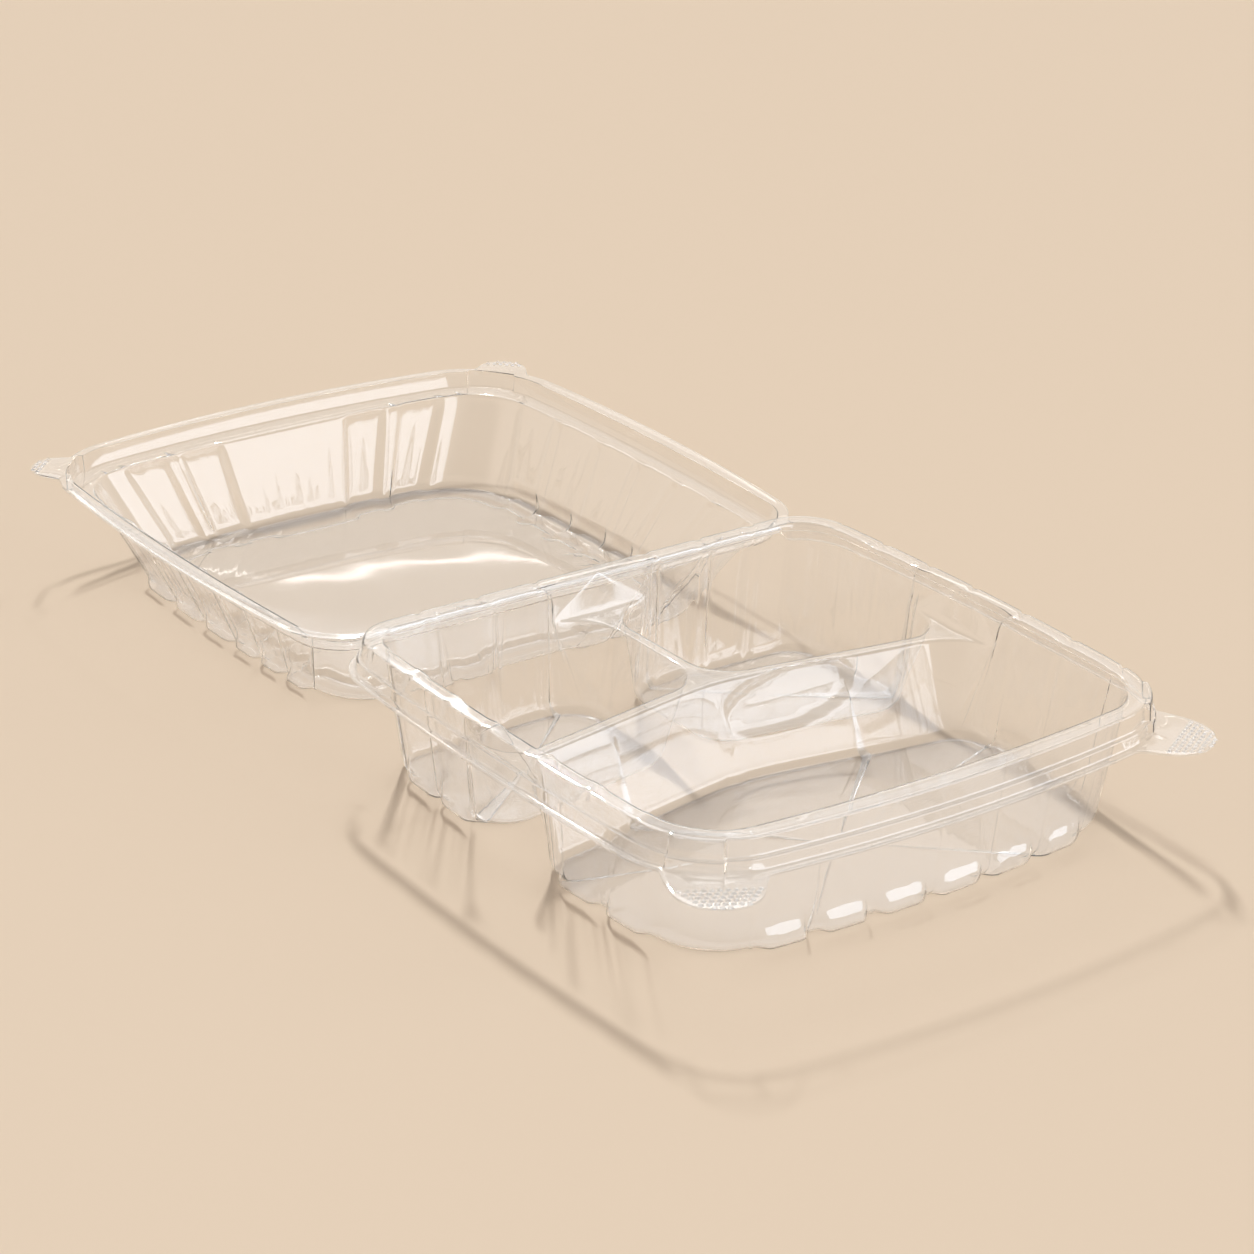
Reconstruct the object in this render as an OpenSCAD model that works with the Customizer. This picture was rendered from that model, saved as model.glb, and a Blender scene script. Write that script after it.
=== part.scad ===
// Hinged clear food container, shown open and lying flat: a base with three
// compartments and a fluted lid, joined along a living hinge.
// Frame: +X along the hinge, the base toward -Y, the lid toward +Y, +Z up,
// origin at the middle of the footprint on the surface that it stands on.

/* [Base] */
// Width of the base across its flange at the hinge corners
flange_w = 230.4; // [222:0.2:250]
// Length of the base from the hinge to its front corners
base_l = 212.4; // [200:0.2:240]
// Outward bow of the base's sides at their middle
side_bow = 4.8; // [0:0.2:6]
// Outward bow of the base's front edge at its middle
front_bow = 10; // [0:0.5:13]
// Radius of the flange's corners beside the hinge
rear_r = 23.4; // [20:0.2:28]
// Radius of the flange's front corners
front_r = 32; // [28:0.5:38]
// Depth of the base from its flange down to the surface it stands on
base_h = 39.8; // [34:0.2:48]
// Thickness of the formed sheet
sheet_t = 0.5; // [0.4:0.05:0.7]

/* [Rim] */
// Height of the rim bead above the base's flange
bead_h = 11.7; // [9:0.1:13]
// Height above the flange of the ledge that the lid's flange rests on
ledge_h = 4.6; // [4:0.1:6]
// Inset of the foot of the bead's wall from the flange's edge
bead_foot = 2.6; // [2.5:0.1:3]
// Inset of the bead's top from the flange's edge
bead_top = 5.1; // [4.8:0.1:5.8]
// Width of the flat land on top of the bead
land_w = 6.4; // [5:0.1:8]
// Radius of the bead's top edge
bead_r = 0.9; // [0.6:0.1:1.4]
// How much the bead's upper wall leans in on its way up
skirt_draft = 0.7; // [0.4:0.1:1]
// How far the front corner snaps stand out of the bead
snap_out = 2; // [1:0.1:2.3]
// Width of a corner snap along the bead
snap_w = 19; // [12:0.5:24]

/* [Compartments] */
// Plan distance from the land down to the foot of the side walls
side_run = 9.6; // [7:0.1:12]
// Plan distance from the land down to the foot of the front and hinge walls
end_run = 7.4; // [6:0.1:10]
// Radius of the compartments' corners at the floor
floor_r = 13; // [10:0.5:16]
// Radius of the front compartment's outer corners at the floor
outer_floor_r = 20; // [14:0.5:24]
// Radius of the fillet between walls and floor
fillet_r = 4; // [3:0.5:5]
// Distance from the hinge to the main divider at the side walls
divider_y = 98; // [90:0.5:106]
// How far the main divider bends toward the hinge at its middle
divider_bend = 19; // [12:0.5:24]
// Depth of the dividers' tops below the flange
divider_drop = 5; // [3:0.5:10]
// Half width of the dividers' flat tops
divider_half = 2.2; // [1.6:0.1:3]
// Extra half width of a divider where it flares into a wall
flare = 5; // [0:0.5:7]
// Plan distance from a divider's middle to its foot in the rear compartments
rear_div_run = 11.5; // [9:0.5:13]
// Plan distance from the main divider's middle to its foot in the front compartment
front_div_run = 18; // [13:0.5:22]

/* [Lid] */
// Width of the lid across its flange at the hinge corners
lid_w = 232.2; // [224:0.2:252]
// Length of the lid from the hinge to its far corners
lid_l = 211.8; // [199:0.2:241]
// Outward bow of the lid's sides at their middle
lid_side_bow = 7; // [5:0.2:9]
// Outward bow of the lid's far edge at its middle
lid_far_bow = 11.3; // [10:0.1:15]
// Inset of the lid's cavity from the base's flange line
lid_land_in = 12.5; // [11.5:0.1:14]
// Plan distance from the land down to the foot of the lid's side walls
lid_side_run = 18.5; // [14:0.5:24]
// Plan distance from the land down to the foot of the lid's far and hinge walls
lid_end_run = 14.5; // [11:0.5:20]
// Radius of the lid's floor corners
lid_floor_r = 21; // [16:0.5:28]
// Height of the lid's raised inner panel above its foot
panel_rise = 2; // [0.8:0.2:3]
// Inset of the raised inner panel from the foot of the walls
panel_inset = 12; // [8:0.5:18]

/* [Flutes] */
// Depth of the flutes at the foot of the base's walls
base_flute = 2; // [0.5:0.1:2.4]
// Depth of the flutes at the foot of the lid's walls
lid_flute = 3; // [0.5:0.1:4]
// Depth of the scallops along the land's inner edge
scallop = 0.9; // [0.2:0.1:1.2]

/* [Hinge and fit] */
// Height of the hinge axis above the base's flange
axis_h = 4.3; // [4.2:0.05:5]
// Half length of the living hinge
hinge_half = 99; // [90:0.5:103]
// Clearance between base and lid wherever they meet
fit_gap = 0.3; // [0.3:0.05:0.5]

/* [Tabs] */
// Radius of the base's front corner tabs at their end
tab_r = 16; // [12:0.5:18]
// Inset of a base tab's centre from the flange's side line
tab_in = 10; // [6:0.5:14]
// Distance of a base tab's centre past the flange's front line
tab_past = 2.6; // [-2:0.2:5]
// Radius of the lid's far corner tabs at their end
lid_tab_r = 10; // [7:0.5:13]
// Inset of a lid tab's centre from the flange's side line
lid_tab_in = 4; // [2:0.5:8]
// Inset of a lid tab's centre from the flange's far line
lid_tab_back = 7; // [4:0.5:10]
// How much wider a tab is at its root than at its end
tab_spread = 1.3; // [1:0.05:1.4]

/* [Hidden] */

clear_plastic = [0.86, 0.93, 0.96, 0.4];

// Samples along each stretch of the outline, four to a flute
flute_n = 4;
flute_shape = [0, 0.8, 1, 0.8];
half_flute = flute_n / 2;
rear_n = 3 * flute_n + half_flute;
side_n = 3 * flute_n;
front_n = 6 * flute_n;
rear_arc_n = 7;
front_arc_n = 9;
side_i = rear_n + rear_arc_n;
left_i = side_i + side_n;
far_i = left_i + side_n + front_arc_n;
ring_n = 2 * (left_i + side_n + front_arc_n) + front_n;
right_i = ring_n - left_i;

// Samples along a divider: beside the wall, in the middle and beside the bend
near_n = 6;
bend_n = 5;
long_mid_n = 5;
short_mid_n = 2;

hw = flange_w / 2;
edge_y = -fit_gap / 2;
front_y = edge_y - base_l;
land_in = bead_top + land_w;
floor_z = sheet_t - base_h;
apex_y = divider_bend - divider_y;
divider_z = -divider_drop;
lid_hw = lid_w / 2;
lid_far_y = edge_y - lid_l;
lid_flange_z = 2 * axis_h - ledge_h - fit_gap;
lid_land_z = 2 * axis_h - bead_h - fit_gap;

tab_x = hw - tab_in;
tab_y = front_y - tab_past;
lid_tab_x = lid_hw - lid_tab_in;
lid_tab_y = lid_far_y + lid_tab_back;

// Places the hinge so that the footprint is centred on the origin
reach_front = max(tab_r - tab_y, front_bow - front_y);
reach_far = lid_far_bow - lid_far_y;
hinge_y = (reach_front - reach_far) / 2;

function unit(v) = v / max(norm(v), 1e-9);
function clamp(x, lo, hi) = min(max(x, lo), hi);
function mix(a, b, t) = a + (b - a) * t;
function ease(t) = let (c = clamp(t, 0, 1)) c * c * (3 - 2 * c);
function plan(p) = [p[0], p[1]];
function at_z(p, z) = [p[0], p[1], z];
function smooth_max(a, b, k) = (a + b + sqrt((a - b) * (a - b) + k * k)) / 2;

// Bows a point of a straight-sided plan outward
function bowed(p, half, span, sb, fb) =
    let (yy = clamp(2 * p[1] / span + 1, -1, 1), xx = clamp(p[0] / half, -1, 1),
         deep = clamp(-p[1] / span, 0, 1))
    [p[0] + sb * (1 - yy * yy) * p[0] / half, p[1] - fb * (1 - xx * xx) * deep * deep, p[2]];

// A stretch of samples from a to b that leaves out b
function stretch(a, b, n) = [for (i = [0:n - 1]) mix(a, b, i / n)];
function arc(c, r, from, n) =
    [for (a = stretch(from, from + 90, n)) [c[0] + r * cos(a), c[1] + r * sin(a)]];

// Straight-sided outline from the middle of the hinge side round by -X
function outline(half, rear, front, rr, fr) = concat(
    stretch([0, rear], [rr - half, rear], rear_n),
    arc([rr - half, rear - rr], rr, 90, rear_arc_n),
    stretch([-half, rear - rr], [-half, -divider_y], side_n),
    stretch([-half, -divider_y], [-half, front + fr], side_n),
    arc([fr - half, front + fr], fr, 180, front_arc_n),
    stretch([fr - half, front], [half - fr, front], front_n),
    arc([half - fr, front + fr], fr, 270, front_arc_n),
    stretch([half, front + fr], [half, -divider_y], side_n),
    stretch([half, -divider_y], [half, rear - rr], side_n),
    arc([half - rr, rear - rr], rr, 0, rear_arc_n),
    stretch([half - rr, rear], [0, rear], rear_n));

function steady(v, n) = [for (i = [1:n]) v];

// Outward directions at the outline's samples
outward = concat(
    steady([0, 1], rear_n),
    arc([0, 0], 1, 90, rear_arc_n),
    steady([-1, 0], 2 * side_n),
    arc([0, 0], 1, 180, front_arc_n),
    steady([0, -1], front_n),
    arc([0, 0], 1, 270, front_arc_n),
    steady([1, 0], 2 * side_n),
    arc([0, 0], 1, 0, rear_arc_n),
    steady([0, 1], rear_n));

// How far flutes stand out at n samples, of which those outside first to last have none
function flutes(n, first, last) =
    [for (i = [0:n - 1]) i >= first && i < last ? flute_shape[(i - first) % flute_n] : 0];
side_flutes = flutes(2 * side_n, 0, 2 * side_n);
function around(left, front, right) = concat(
    left, steady(0, rear_arc_n), side_flutes, steady(0, front_arc_n),
    front, steady(0, front_arc_n), side_flutes, steady(0, rear_arc_n), right);
rear_left = flutes(rear_n, flute_n, rear_n - half_flute);
rear_right = flutes(rear_n, half_flute, rear_n - flute_n);
base_waves = around(rear_left, flutes(front_n, 0, front_n), rear_right);
// The land's inner edge is smooth along the front
base_scallops = around(rear_left, steady(0, front_n), rear_right);
// The middle of the lid's far wall is smooth
lid_waves = around(
    rear_left,
    concat(flutes(front_n / 2, 0, 2 * flute_n), flutes(front_n / 2, flute_n, 3 * flute_n)),
    rear_right);

flange_line = outline(hw, edge_y, front_y, rear_r, front_r);
lid_line = outline(lid_hw, edge_y, lid_far_y, rear_r, front_r);

// Snaps stand out of the bead at the middle of each front corner
function snap_at(p) =
    let (d = norm([abs(p[0]) - hw + front_r * (1 - sin(45)), p[1] - front_y - front_r * (1 - sin(45))]))
    p[1] < -divider_y ? ease((snap_w / 2 + 2 - d) / 2.5) : 0;

// How much of a ring's rise at the hinge a point takes: the flange rises there
function rear_share(p) = p[1] > -rear_r ? ease((hinge_half + 3 - abs(p[0])) / 5) : 0;

// One ring of the rim: inset, height, height at the hinge, how far the snaps push it
function rim_ring(inset, z, hinge_z, push) =
    [for (i = [0:ring_n - 1]) let (p = flange_line[i])
        at_z(p - outward[i] * (inset - push * snap_out * snap_at(p)),
            mix(z, hinge_z, rear_share(p)))];

// The land's inner edge, scalloped by the flutes
function land_ring(inset, z, waves) =
    [for (i = [0:ring_n - 1])
        at_z(flange_line[i] - outward[i] * (inset - scallop * waves[i]), z)];

base_rim = [
    rim_ring(0, 0, axis_h, 0),
    rim_ring(bead_foot, 0, ledge_h, 1),
    rim_ring(bead_foot + 0.4, ledge_h, ledge_h, 1),
    rim_ring(bead_top - skirt_draft, ledge_h, ledge_h, 1),
    rim_ring(bead_top, bead_h - bead_r, bead_h - bead_r, 1),
    rim_ring(bead_top + bead_r, bead_h, bead_h, 0.5),
    land_ring(land_in, bead_h, base_scallops)];
lid_rim = [
    [for (p = lid_line) at_z(p, lid_flange_z)],
    rim_ring(bead_top - 1.5 * skirt_draft - fit_gap, lid_flange_z, lid_flange_z, 1),
    rim_ring(bead_top - fit_gap, lid_land_z, lid_land_z, 1),
    land_ring(lid_land_in, lid_land_z, lid_waves)];

// Feet of the walls on the floor
cavity_foot = outline(hw - land_in - side_run, edge_y - land_in - end_run,
    front_y + land_in + end_run, floor_r, outer_floor_r);
lid_foot = outline(hw - lid_land_in - lid_side_run, edge_y - lid_land_in - lid_end_run,
    front_y + lid_land_in + lid_end_run, lid_floor_r, lid_floor_r);
function fluted(foot, waves, depth) =
    [for (i = [0:ring_n - 1]) foot[i] + outward[i] * depth * waves[i]];
base_feet = fluted(cavity_foot, base_waves, base_flute);
lid_feet = fluted(lid_foot, lid_waves, lid_flute);

// Part of the flutes' depth that is held back on the upper wall, where the flutes
// stand out at the foot only: the base's side and front walls, the lid's side walls
base_holds = [for (i = [0:ring_n - 1])
    outward[i] * (i > side_i && i < ring_n - side_i ? base_flute * base_waves[i] : 0)];
lid_holds = [for (i = [0:ring_n - 1]) let (far = i >= far_i && i < far_i + front_n)
    outward[i] * (i > side_i && i < ring_n - side_i && !far ? lid_flute * lid_waves[i] : 0)];

// Distances along a divider of the samples between its wall and the bend
function stops(length, zone, mid_n) = concat(
    [for (j = [1:near_n]) zone * pow(j / near_n, 1.8)],
    [for (j = [1:mid_n]) mix(zone, length - zone, j / mid_n)],
    [for (j = [1:bend_n - 1]) mix(length - zone, length, j / bend_n)]);

// Height of a divider's top at distance d from a wall of the given run
function divider_top(d, run) =
    min(bead_h, smooth_max(bead_h - d * (bead_h - floor_z) / run, divider_z, 4));

bend = [0, apex_y];
corner_zone = rear_div_run + floor_r;
wall_x = hw - land_in;
wall_y = edge_y - land_in;
long_l = norm([wall_x, divider_bend]);
short_l = wall_y - apex_y;
long_d = stops(long_l, corner_zone, long_mid_n);
short_d = stops(short_l, corner_zone, short_mid_n);
function divider_line(from, dists, run) =
    [for (d = dists) at_z(from + unit(bend - from) * d, divider_top(d, run))];
left_line = divider_line([-wall_x, -divider_y], long_d, side_run);
right_line = divider_line([wall_x, -divider_y], long_d, side_run);
short_line = divider_line([0, wall_y], short_d, end_run);
long_n = len(long_d);
short_n = len(short_d);

// Extra half width of a divider's top near its wall
function flare_at(d) = flare * exp(-pow((d - 4) / 5, 2));

// Crossing of the line through p along u with the line through q along v
function crossing(p, u, q, v) =
    p + u * ((q[0] - p[0]) * v[1] - (q[1] - p[1]) * v[0]) / (u[0] * v[1] - u[1] * v[0]);
function left_of(u) = [-u[1], u[0]];

// A corner between two lines that meet at c, running away along u and v, with the
// feet at distances fu and fv from them: centre of the rounded foot
function foot_centre(c, u, v, fu, fv, r) =
    let (side = sign(u[0] * v[1] - u[1] * v[0]), nu = left_of(u) * side, nv = -left_of(v) * side)
    crossing(c + nu * (fu + r), u, c + nv * (fv + r), v);
// Foot of the sample at distance d from the corner along u
function corner_foot(c, u, v, fu, fv, r, d) =
    let (o = foot_centre(c, u, v, fu, fv, r),
         side = sign(u[0] * v[1] - u[1] * v[0]), nu = left_of(u) * side, nv = -left_of(v) * side,
         zone = (o - c) * u, t = clamp(1 - d / zone, 0, 1) / 2)
    t > 0 ? o - unit(mix(nu, nv, t)) * r : c + u * d + nu * fu;

// Where the main divider meets a side wall, and directions away from corners
function long_end(side) = [side * wall_x, -divider_y];
short_end = [0, wall_y];
function to_wall(side) = unit(long_end(side) - bend);
up = [0, 1];
down = [0, -1];

// Foot of a wall sample i in a rear compartment, beside both of its dividers
function rear_wall_foot(i, side) =
    let (p = plan(land[i]), end = long_end(side), d = p[1] - end[1])
    i % (ring_n - side_i) >= side_i && d < corner_zone
        ? corner_foot(end, up, -to_wall(side), side_run, rear_div_run, floor_r, d)
        : p[1] > wall_y - near && abs(p[0]) < corner_zone
            ? corner_foot(short_end, [side, 0], down, end_run, rear_div_run, floor_r, abs(p[0]))
            : base_feet[i];
function front_wall_foot(i) =
    let (p = plan(land[i]), side = sign(p[0]), end = long_end(side), d = end[1] - p[1])
    d < front_div_run + floor_r
        ? corner_foot(end, down, -to_wall(side), side_run, front_div_run, floor_r, d)
        : base_feet[i];
// Foot of a divider sample at distance d from its wall, len from the bend
function rear_divider_foot(side, d) =
    d < long_l / 2
        ? corner_foot(long_end(side), -to_wall(side), up, rear_div_run, side_run, floor_r, d)
        : corner_foot(bend, to_wall(side), up, rear_div_run, rear_div_run, floor_r, long_l - d);
function front_divider_foot(side, d) =
    let (end = long_end(side), away = -to_wall(side))
    d < long_l / 2
        ? corner_foot(end, away, down, front_div_run, side_run, floor_r, d)
        : end + away * d + [side * away[1], -abs(away[0])] * front_div_run;
function short_foot(side, d) =
    d < short_l / 2
        ? corner_foot(short_end, down, [side, 0], rear_div_run, end_run, floor_r, d)
        : corner_foot(bend, up, to_wall(side), rear_div_run, rear_div_run, floor_r, short_l - d);

// A compartment: its edge points with their indices, feet, flat widths and holds.
// Indices of the edge points follow the rim rings, left, right and short lines, bend.
rim_i = (len(base_rim) - 1) * ring_n;
left_k = len(base_rim) * ring_n;
right_k = left_k + long_n;
short_k = right_k + long_n;
bend_k = short_k + short_n;
bend_top = at_z(bend, divider_z);
land = base_rim[len(base_rim) - 1];
wall_half = 0.9;
near = 2;

function wall_part(list, side) =
    [for (i = list) let (k = i % ring_n)
        let (foot = side == 0 ? front_wall_foot(k) : rear_wall_foot(k, side))
        [rim_i + k, land[k], foot, wall_half, foot == base_feet[k] ? base_holds[k] : [0, 0]]];
function line_part(k0, line, dists, feet, back) =
    let (n = len(dists))
    [for (j = [0:n - 1]) let (m = back ? n - 1 - j : j)
        [k0 + m, line[m], feet[m], divider_half + flare_at(dists[m]), [0, 0]]];
function bend_part(foot) = [[bend_k, bend_top, foot, divider_half, [0, 0]]];

function rear_feet(side) = [for (d = long_d) rear_divider_foot(side, d)];
function front_feet(side) = [for (d = long_d) front_divider_foot(side, d)];
function short_feet(side) = [for (d = short_d) short_foot(side, d)];
function rear_bend_foot(side) =
    corner_foot(bend, to_wall(side), up, rear_div_run, rear_div_run, floor_r, 0);

left_cell = concat(
    wall_part([0:left_i], -1),
    line_part(left_k, left_line, long_d, rear_feet(-1), false),
    bend_part(rear_bend_foot(-1)),
    line_part(short_k, short_line, short_d, short_feet(-1), true));
right_cell = concat(
    wall_part([right_i:ring_n], 1),
    line_part(short_k, short_line, short_d, short_feet(1), false),
    bend_part(rear_bend_foot(1)),
    line_part(right_k, right_line, long_d, rear_feet(1), true));
front_cell = concat(
    wall_part([left_i:right_i], 0),
    line_part(right_k, right_line, long_d, front_feet(1), false),
    bend_part([0, apex_y - front_div_run]),
    line_part(left_k, left_line, long_d, front_feet(-1), true));
lid_land_k = (len(lid_rim) - 1) * ring_n;
lid_cell = [for (i = [0:ring_n - 1])
    [lid_land_k + i, lid_rim[len(lid_rim) - 1][i], lid_feet[i], wall_half, lid_holds[i]]];

// The wall's way down at one sample: [plan distance, height] pairs, edge to floor
edge_sag = 0.25;
edge_r = 0.9;
edge_drop = 1.6;
function way_down(run, top, flat, foot_z) =
    [[flat, top - edge_sag],
     [flat + edge_r, top - edge_drop],
     [mix(flat + edge_r, run - fillet_r * 0.8, 0.5), mix(top - edge_drop, foot_z + fillet_r, 0.5)],
     [run - fillet_r * 0.8, foot_z + fillet_r],
     [run - fillet_r * 0.25, foot_z + fillet_r * 0.28],
     [run + fillet_r * 0.5, foot_z]];
way_n = 6;
hold_power = 4;

// Rings of a compartment, from its edge down to its floor
function cell_rings(cell) =
    let (ways = [for (c = cell) way_down(norm(c[2] - plan(c[1])), c[1][2], c[3], floor_z)])
    [for (k = [0:way_n - 1])
        [for (i = [0:len(cell) - 1])
            let (c = cell[i], w = ways[i][k], way = c[2] - plan(c[1]), f = min(w[0] / norm(way), 1))
            at_z(plan(c[1]) + unit(way) * w[0] - c[4] * (f - pow(f, hold_power)), w[1])]];
function ring_centre(ring) =
    let (share = [for (p = ring) 1 / len(ring)]) [for (a = [0:2]) [for (p = ring) p[a]] * share];

// Unit normals of a stack of closed rings. The last ring's are given as straight up.
function ring_normals(before, rings) =
    [for (k = [0:len(rings) - 1])
        let (prev = k == 0 ? before : rings[k - 1], here = rings[k],
             next = rings[min(k + 1, len(rings) - 1)], n = len(here))
        [for (i = [0:n - 1])
            k == len(rings) - 1 ? [0, 0, 1]
            : unit(cross(here[(i + 1) % n] - here[(i + n - 1) % n], prev[i] - next[i]) * -1)]];
function line_normals(line) =
    [for (j = [0:len(line) - 1])
        let (a = line[max(j - 1, 0)], b = line[min(j + 1, len(line) - 1)], t = b - a,
             across = unit(left_of(plan(t))))
        unit(cross(t, [across[0], across[1], 0]))];
function join(lists) = [for (l = lists) for (x = l) x];

// Faces between rings of n samples that start at indices a and b
function band(a, b, n) =
    join([for (i = [0:n - 1]) let (j = (i + 1) % n)
        [[a[i], b[i], b[j]], [a[i], b[j], a[j]]]]);
function ring_ids(first, n) = [for (i = [0:n - 1]) first + i];
function cell_faces(ids, first, ring_count) =
    let (n = len(ids), rows = concat([ids], [for (k = [0:ring_count - 1]) ring_ids(first + k * n, n)]),
         last = rows[ring_count], centre = first + ring_count * n)
    concat(
        join([for (k = [0:ring_count - 1]) band(rows[k], rows[k + 1], n)]),
        [for (i = [0:n - 1]) [last[i], centre, last[(i + 1) % n]]]);

// A closed sheet from its inner face's points, their normals and the face list
module sheet(points, normals, faces) {
    count = len(points);
    under = [for (i = [0:count - 1]) points[i] - normals[i] * sheet_t];
    below = [for (f = faces) [f[0] + count, f[2] + count, f[1] + count]];
    edge = join([for (i = [0:ring_n - 1]) let (j = (i + 1) % ring_n)
        [[i, j, j + count], [i, j + count, i + count]]]);
    polyhedron(points = concat(points, under), faces = concat(faces, below, edge));
}

function bowed_all(list, sb, fb) = [for (p = list) bowed(p, hw, base_l, sb, fb)];
function flat_edge(rings) = [for (k = [0:len(rings) - 1]) k == 0 ? steady([0, 0, 1], ring_n) : rings[k]];

// The base's sheet: the rim, then the dividers' lines, then the compartments
module base_sheet() {
    rim = [for (r = base_rim) bowed_all(r, side_bow, front_bow)];
    lines = [for (l = [left_line, right_line, short_line]) bowed_all(l, side_bow, front_bow)];
    cells = [left_cell, right_cell, front_cell];
    stacks = [for (c = cells)
        [for (r = cell_rings(c)) bowed_all(r, side_bow, front_bow)]];
    edges = [for (c = cells) bowed_all([for (s = c) s[1]], side_bow, front_bow)];
    centres = [for (s = stacks) ring_centre(s[way_n - 1])];
    points = concat(join(rim), join(lines), bowed_all([bend_top], side_bow, front_bow),
        join([for (c = [0:2]) concat(join(stacks[c]), [centres[c]])]));
    normals = concat(
        join(flat_edge(ring_normals(rim[0], rim))), join([for (l = lines) line_normals(l)]), [[0, 0, 1]],
        join([for (c = [0:2]) concat(join(ring_normals(edges[c], stacks[c])), [[0, 0, 1]])]));
    sizes = [for (c = cells) len(c)];
    firsts = [for (c = [0:2]) bend_k + 1
        + (c > 0 ? sizes[0] * way_n + 1 : 0) + (c > 1 ? sizes[1] * way_n + 1 : 0)];
    faces = concat(
        join([for (k = [0:len(rim) - 2])
            band(ring_ids(k * ring_n, ring_n), ring_ids((k + 1) * ring_n, ring_n), ring_n)]),
        join([for (c = [0:2]) cell_faces([for (s = cells[c]) s[0]], firsts[c], way_n)]));
    sheet(points, normals, faces);
}

// The lid's sheet, in the same plan as the base: rim, cavity and raised panel
module lid_sheet() {
    rings = cell_rings(lid_cell);
    last = rings[way_n - 1];
    centre = ring_centre(last);
    panel = [for (step = [[panel_inset, 0], [panel_inset + 2, panel_rise]])
        [for (p = last) let (c = at_z(centre, p[2]))
            p + unit(c - p) * step[0] + [0, 0, step[1]]]];
    stack = concat(rings, panel);
    rim = [for (k = [0:len(lid_rim) - 1])
        k == 0 ? [for (p = lid_rim[0]) bowed(p, lid_hw, lid_l, lid_side_bow, lid_far_bow)]
        : bowed_all(lid_rim[k], side_bow, front_bow)];
    inner = [for (r = stack) bowed_all(r, side_bow, front_bow)];
    points = concat(join(rim), join(inner), [at_z(centre, floor_z + panel_rise)]);
    normals = concat(join(flat_edge(ring_normals(rim[0], rim))),
        join(ring_normals(rim[len(rim) - 1], inner)), [[0, 0, 1]]);
    faces = concat(
        join([for (k = [0:len(rim) - 2])
            band(ring_ids(k * ring_n, ring_n), ring_ids((k + 1) * ring_n, ring_n), ring_n)]),
        cell_faces(ring_ids(lid_land_k, ring_n), len(rim) * ring_n, len(stack)));
    sheet(points, normals, faces);
}

// Rounded corner tabs in the flange's plane, outside the flange's edge, each
// widening from its end at x, y to its root
module tabs(x, y, r, root, edge, z) {
    for (side = [-1, 1])
        translate([0, 0, z - sheet_t])
            linear_extrude(sheet_t)
                difference() {
                    hull() {
                        translate([side * x, y]) circle(r, $fn = 48);
                        translate([side * root[0], root[1]]) circle(r * tab_spread, $fn = 48);
                    }
                    polygon(edge);
                }
}

module base() {
    color(clear_plastic)
        translate([0, hinge_y, base_h]) {
            base_sheet();
            tabs(tab_x, tab_y, tab_r, [tab_x - tab_r, tab_y + 1.4 * tab_r],
                [for (i = [0:ring_n - 1]) plan(bowed(at_z(flange_line[i] - outward[i] * 0.2, 0),
                    hw, base_l, side_bow, front_bow))], 0);
        }
}

module lid() {
    color(clear_plastic)
        translate([0, hinge_y, base_h])
            mirror([0, 1, 0]) {
                lid_sheet();
                tabs(lid_tab_x, lid_tab_y, lid_tab_r, [lid_tab_x - lid_tab_r, lid_tab_y + lid_tab_r],
                    [for (i = [0:ring_n - 1]) plan(bowed(at_z(lid_line[i] - outward[i] * 0.2, 0),
                        lid_hw, lid_l, lid_side_bow, lid_far_bow))], lid_flange_z);
            }
}

base();
lid();
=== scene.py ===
"""Clear hinged food container, open and lying flat, in the frame of its CAD model."""
import math

import bpy
import numpy as np
from mathutils import Matrix, Vector


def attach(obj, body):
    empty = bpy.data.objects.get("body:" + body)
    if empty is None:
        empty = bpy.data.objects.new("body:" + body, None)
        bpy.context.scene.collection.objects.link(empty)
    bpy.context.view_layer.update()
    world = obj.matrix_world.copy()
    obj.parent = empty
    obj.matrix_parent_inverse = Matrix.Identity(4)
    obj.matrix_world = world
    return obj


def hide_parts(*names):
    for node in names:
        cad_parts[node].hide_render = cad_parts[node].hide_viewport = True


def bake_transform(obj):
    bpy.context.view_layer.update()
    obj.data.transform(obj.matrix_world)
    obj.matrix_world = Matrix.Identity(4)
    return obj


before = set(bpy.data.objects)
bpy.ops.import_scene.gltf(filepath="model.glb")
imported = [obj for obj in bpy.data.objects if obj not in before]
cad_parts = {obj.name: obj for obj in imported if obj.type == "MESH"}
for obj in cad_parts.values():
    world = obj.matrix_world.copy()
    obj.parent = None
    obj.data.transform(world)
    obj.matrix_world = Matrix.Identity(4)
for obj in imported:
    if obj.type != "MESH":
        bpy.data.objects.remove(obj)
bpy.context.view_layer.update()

# Sizes in millimetres, the same as the CAD model's
FLANGE_W, BASE_L, SIDE_BOW, FRONT_BOW = 230.4, 212.4, 4.8, 10.0
REAR_R, FRONT_R, BASE_H, SHEET_T = 23.4, 32.0, 39.8, 0.5
BEAD_H, LEDGE_H, BEAD_FOOT, BEAD_TOP = 11.7, 4.6, 2.6, 5.1
LAND_W, BEAD_R, SKIRT_DRAFT, SNAP_OUT, SNAP_W = 6.4, 0.9, 0.7, 2.0, 19.0
SIDE_RUN, END_RUN, FLOOR_R, OUTER_FLOOR_R, FILLET_R = 9.6, 7.4, 13.0, 20.0, 4.0
DIVIDER_Y, DIVIDER_BEND, DIVIDER_DROP, DIVIDER_HALF = 98.0, 19.0, 5.0, 2.2
REAR_DIV_RUN, FRONT_DIV_RUN = 11.5, 18.0
LID_W, LID_L, LID_SIDE_BOW, LID_FAR_BOW, LID_LAND_IN = 232.2, 211.8, 7.0, 11.3, 12.5
LID_SIDE_RUN, LID_END_RUN, LID_FLOOR_R = 18.5, 14.5, 21.0
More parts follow.
